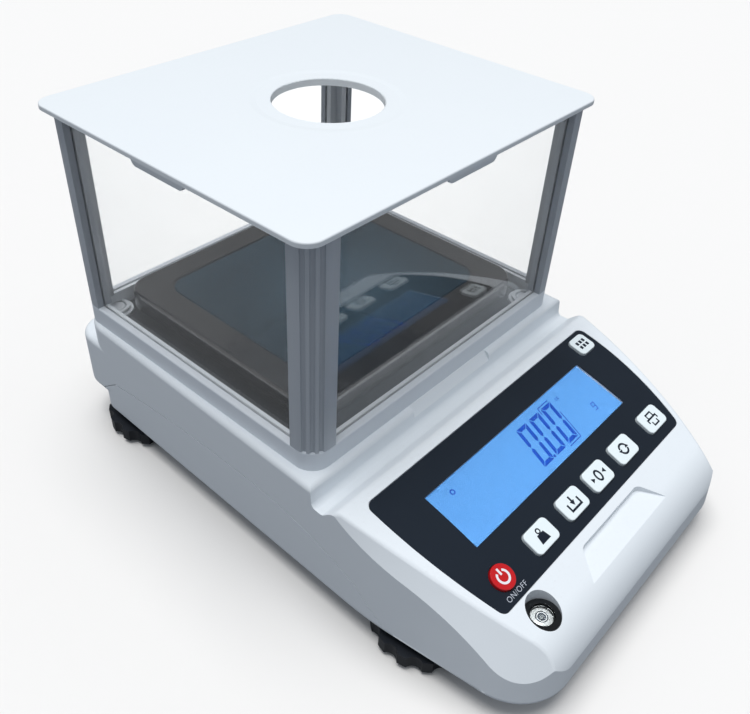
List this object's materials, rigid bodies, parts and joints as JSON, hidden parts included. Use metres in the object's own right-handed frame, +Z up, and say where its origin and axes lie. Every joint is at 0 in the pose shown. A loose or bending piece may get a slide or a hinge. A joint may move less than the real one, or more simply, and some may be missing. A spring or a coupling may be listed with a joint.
{
  "type": "precision laboratory balance",
  "caption": "Top-loading precision balance with a square steel pan inside a glass draft shield, a lift-off lid with a round port, a sloping console with display and keys, and levelling feet.",
  "frame": {"origin": "on the bench, under the middle of the bounding box", "axes": "+X to the right of the user who faces the console, +Y away from the user, +Z up"},
  "size_m": [0.1936, 0.2878, 0.1784],
  "materials": {
    "housing": "fine satin moulded",
    "panel": "printed film, slightly glossy",
    "window": "clear, smooth",
    "display": "back-lit blue",
    "board": "solder mask",
    "switch": "moulded",
    "key": "satin",
    "power_key": "satin",
    "level_case": "moulded",
    "level_vial": "clear with silver back",
    "shield": "satin moulded",
    "lid": "satin moulded",
    "glass": "float glass, polished edges",
    "floor": "moulded",
    "pan": "brushed, with protective film in the well",
    "aluminium": "machined",
    "rubber": "matte",
    "wheel": "moulded",
    "steel": "zinc plated",
    "brass": "turned"
  },
  "bodies": {
    "housing": {"board_screws": "steel", "cell_screws": "steel", "chamber_floor": "floor", "data_port": "steel", "display_board": "board", "foot_inserts": "brass", "key_switches": "switch", "keypad_overlay": "panel", "lcd_module": "display", "lcd_window": "window", "level_case": "level_case", "level_vial": "level_vial", "load_cell": "aluminium", "load_cell_base": "aluminium", "lower_shell": "housing", "main_board": "board", "overload_stops": "steel", "power_socket": "switch", "shell_screws": "steel", "shield_studs": "shield", "upper_shell": "housing"},
    "shield": {"shield_frame": "shield", "post_front_left": "shield", "post_front_right": "shield", "post_rear_left": "shield", "post_rear_right": "shield", "glass_front": "glass", "glass_rear": "glass", "glass_left": "glass", "glass_right": "glass", "post_screws": "steel"},
    "lid": {"shield_lid": "lid"},
    "platform": {"pan_support": "aluminium", "pan_buttons": "rubber"},
    "pan": {"weighing_pan": "pan"},
    "cal_key": {"cal_key": "key"},
    "tare_key": {"tare_key": "key"},
    "zero_key": {"zero_key": "key"},
    "unit_key": {"unit_key": "key"},
    "print_key": {"print_key": "key"},
    "power_key": {"power_key": "power_key"},
    "count_key": {"count_key": "key"},
    "foot_pad_front_left": {"foot_pad_front_left": "rubber"},
    "foot_wheel_front_left": {"foot_wheel_front_left": "wheel"},
    "foot_pad_front_right": {"foot_pad_front_right": "rubber"},
    "foot_wheel_front_right": {"foot_wheel_front_right": "wheel"},
    "foot_pad_rear_left": {"foot_pad_rear_left": "rubber"},
    "foot_wheel_rear_left": {"foot_wheel_rear_left": "wheel"},
    "foot_pad_rear_right": {"foot_pad_rear_right": "rubber"},
    "foot_wheel_rear_right": {"foot_wheel_rear_right": "wheel"}
  },
  "joints": [
    {"name": "cal_key_press", "type": "slide", "parent": "housing", "child": "cal_key", "axis": [0, 0.3283, -0.9446], "range_m": [0, 0.0008], "stiffness_N_per_m": 1500},
    {"name": "tare_key_press", "type": "slide", "parent": "housing", "child": "tare_key", "axis": [0, 0.3283, -0.9446], "range_m": [0, 0.0008], "stiffness_N_per_m": 1500},
    {"name": "zero_key_press", "type": "slide", "parent": "housing", "child": "zero_key", "axis": [0, 0.3283, -0.9446], "range_m": [0, 0.0008], "stiffness_N_per_m": 1500},
    {"name": "unit_key_press", "type": "slide", "parent": "housing", "child": "unit_key", "axis": [0, 0.3283, -0.9446], "range_m": [0, 0.0008], "stiffness_N_per_m": 1500},
    {"name": "print_key_press", "type": "slide", "parent": "housing", "child": "print_key", "axis": [0, 0.3283, -0.9446], "range_m": [0, 0.0008], "stiffness_N_per_m": 1500},
    {"name": "power_key_press", "type": "slide", "parent": "housing", "child": "power_key", "axis": [0, 0.3283, -0.9446], "range_m": [0, 0.0008], "stiffness_N_per_m": 1500},
    {"name": "count_key_press", "type": "slide", "parent": "housing", "child": "count_key", "axis": [0, 0.2085, -0.978], "range_m": [0, 0.0008], "stiffness_N_per_m": 1500},
    {"name": "shield_lift", "type": "slide", "parent": "housing", "child": "shield", "axis": [0, 0, 1], "range_m": [0, 0.06]},
    {"name": "lid_lift", "type": "slide", "parent": "shield", "child": "lid", "axis": [0, 0, 1], "range_m": [0, 0.06]},
    {"name": "platform_load", "type": "slide", "parent": "housing", "child": "platform", "axis": [0, 0, -1], "range_m": [0, 0.0003], "stiffness_N_per_m": 60000, "springref_m": -0.00005},
    {"name": "pan_lift", "type": "slide", "parent": "platform", "child": "pan", "axis": [0, 0, 1], "range_m": [0, 0.08]},
    {"name": "foot_height_front_left", "type": "slide", "parent": "housing", "child": "foot_pad_front_left", "axis": [0, 0, -1], "range_m": [-0.00125, 0.00375]},
    {"name": "foot_turn_front_left", "type": "hinge", "parent": "foot_pad_front_left", "child": "foot_wheel_front_left", "pos_m": [-0.072, -0.081, 0], "axis": [0, 0, 1], "range_deg": [-359, 1079]},
    {"name": "foot_height_front_right", "type": "slide", "parent": "housing", "child": "foot_pad_front_right", "axis": [0, 0, -1], "range_m": [-0.00125, 0.00375]},
    {"name": "foot_turn_front_right", "type": "hinge", "parent": "foot_pad_front_right", "child": "foot_wheel_front_right", "pos_m": [0.072, -0.081, 0], "axis": [0, 0, 1], "range_deg": [-359, 1079]},
    {"name": "foot_height_rear_left", "type": "slide", "parent": "housing", "child": "foot_pad_rear_left", "axis": [0, 0, -1], "range_m": [-0.00125, 0.00375]},
    {"name": "foot_turn_rear_left", "type": "hinge", "parent": "foot_pad_rear_left", "child": "foot_wheel_rear_left", "pos_m": [-0.072, 0.1095, 0], "axis": [0, 0, 1], "range_deg": [-359, 1079]},
    {"name": "foot_height_rear_right", "type": "slide", "parent": "housing", "child": "foot_pad_rear_right", "axis": [0, 0, -1], "range_m": [-0.00125, 0.00375]},
    {"name": "foot_turn_rear_right", "type": "hinge", "parent": "foot_pad_rear_right", "child": "foot_wheel_rear_right", "pos_m": [0.072, 0.1095, 0], "axis": [0, 0, 1], "range_deg": [-359, 1079]}
  ],
  "couplings": [
    {"joint": "foot_height_front_left", "follows": "foot_turn_front_left", "m_per_rad": 0.00019894},
    {"joint": "foot_height_front_right", "follows": "foot_turn_front_right", "m_per_rad": 0.00019894},
    {"joint": "foot_height_rear_left", "follows": "foot_turn_rear_left", "m_per_rad": 0.00019894},
    {"joint": "foot_height_rear_right", "follows": "foot_turn_rear_right", "m_per_rad": 0.00019894}
  ]
}
